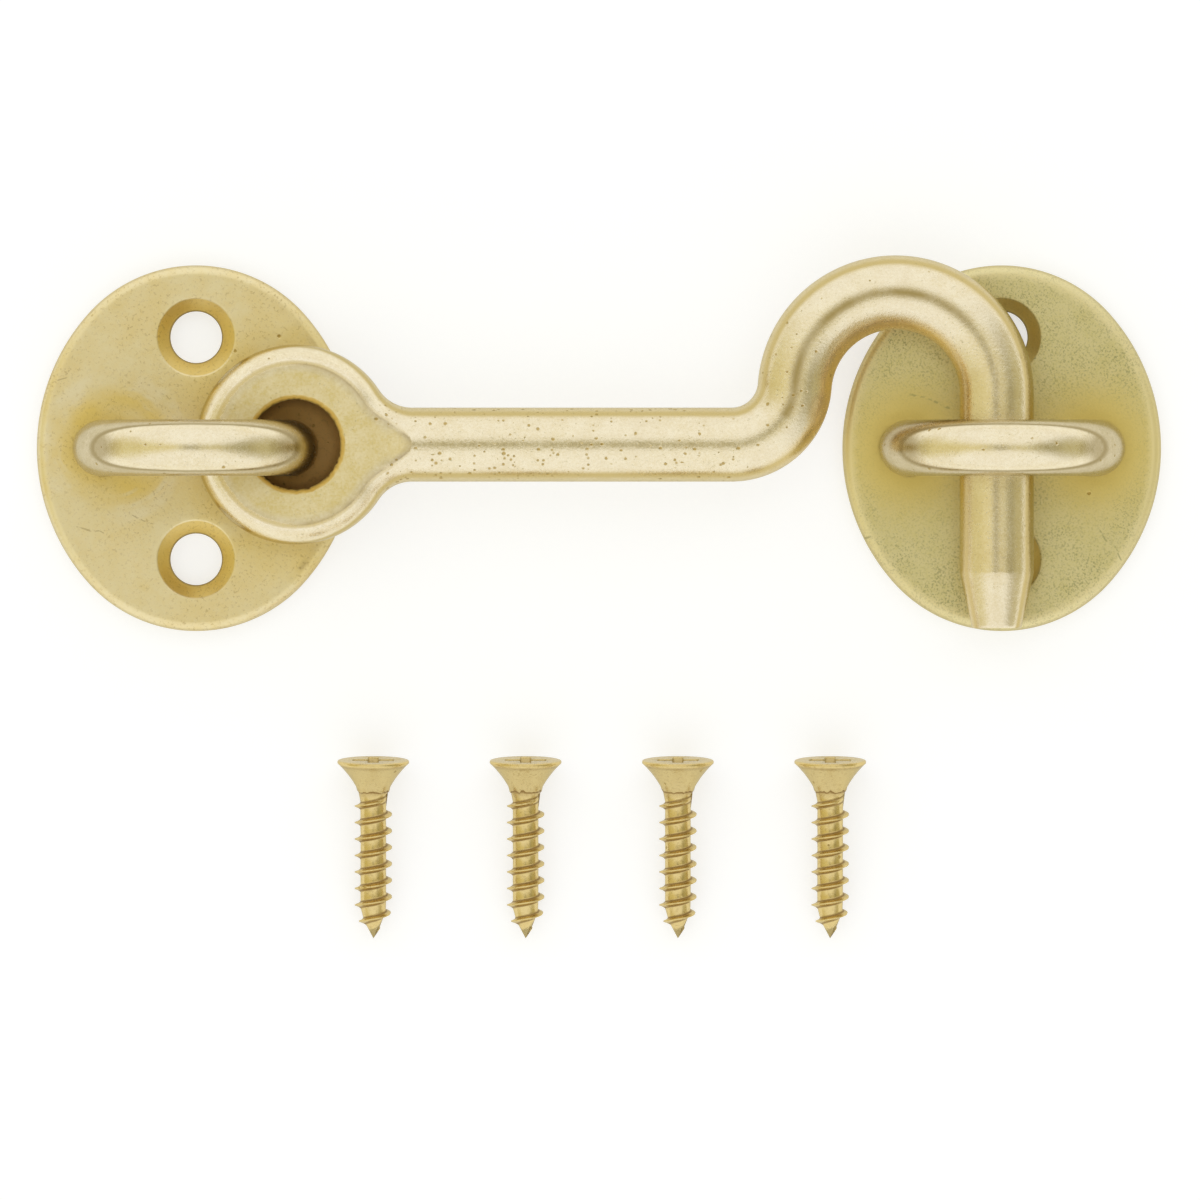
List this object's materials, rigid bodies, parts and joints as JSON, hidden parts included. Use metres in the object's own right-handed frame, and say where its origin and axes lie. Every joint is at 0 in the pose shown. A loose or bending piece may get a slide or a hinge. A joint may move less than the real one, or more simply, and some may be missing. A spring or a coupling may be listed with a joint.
{
  "type": "hook and eye latch",
  "caption": "Brass cabin hook: an eyed hook with an S-bend hangs on one plate's staple and drops through the staple of an oval keep plate, with loose countersunk wood screws.",
  "frame": {"origin": "centre of the hook plate's back face", "axes": "+X from the hook plate to the keep plate, +Y towards the hook's arch, +Z out of the plates' faces"},
  "size_m": [0.1002, 0.0608, 0.0171],
  "materials": {
    "plate_brass": "satin cast brass, slightly tarnished",
    "hook_brass": "satin tumbled brass with small casting pits",
    "screw_brass": "brass-plated satin"
  },
  "bodies": {
    "hook_base": {"hook_plate": "plate_brass", "hook_staple": "hook_brass"},
    "hook": {"hook": "hook_brass"},
    "keep": {"keep_plate": "plate_brass", "keep_staple": "hook_brass"},
    "screw_1": {"screw_1": "screw_brass"},
    "screw_2": {"screw_2": "screw_brass"},
    "screw_3": {"screw_3": "screw_brass"},
    "screw_4": {"screw_4": "screw_brass"}
  },
  "joints": [
    {"name": "hook_lift", "type": "hinge", "parent": "hook_base", "child": "hook", "pos_m": [0.0089, 0.0003, 0.0058], "axis": [0, 0, 1], "range_deg": [-6, 150]},
    {"name": "keep_release", "type": "slide", "parent": "hook_base", "child": "keep", "axis": [0, -1, 0], "range_m": [0, 0.019]},
    {"name": "screw_1_pick", "type": "slide", "parent": "hook_base", "child": "screw_1", "axis": [0, 0, 1], "range_m": [0, 0.03]},
    {"name": "screw_2_pick", "type": "slide", "parent": "hook_base", "child": "screw_2", "axis": [0, 0, 1], "range_m": [0, 0.03]},
    {"name": "screw_3_pick", "type": "slide", "parent": "hook_base", "child": "screw_3", "axis": [0, 0, 1], "range_m": [0, 0.03]},
    {"name": "screw_4_pick", "type": "slide", "parent": "hook_base", "child": "screw_4", "axis": [0, 0, 1], "range_m": [0, 0.03]}
  ]
}
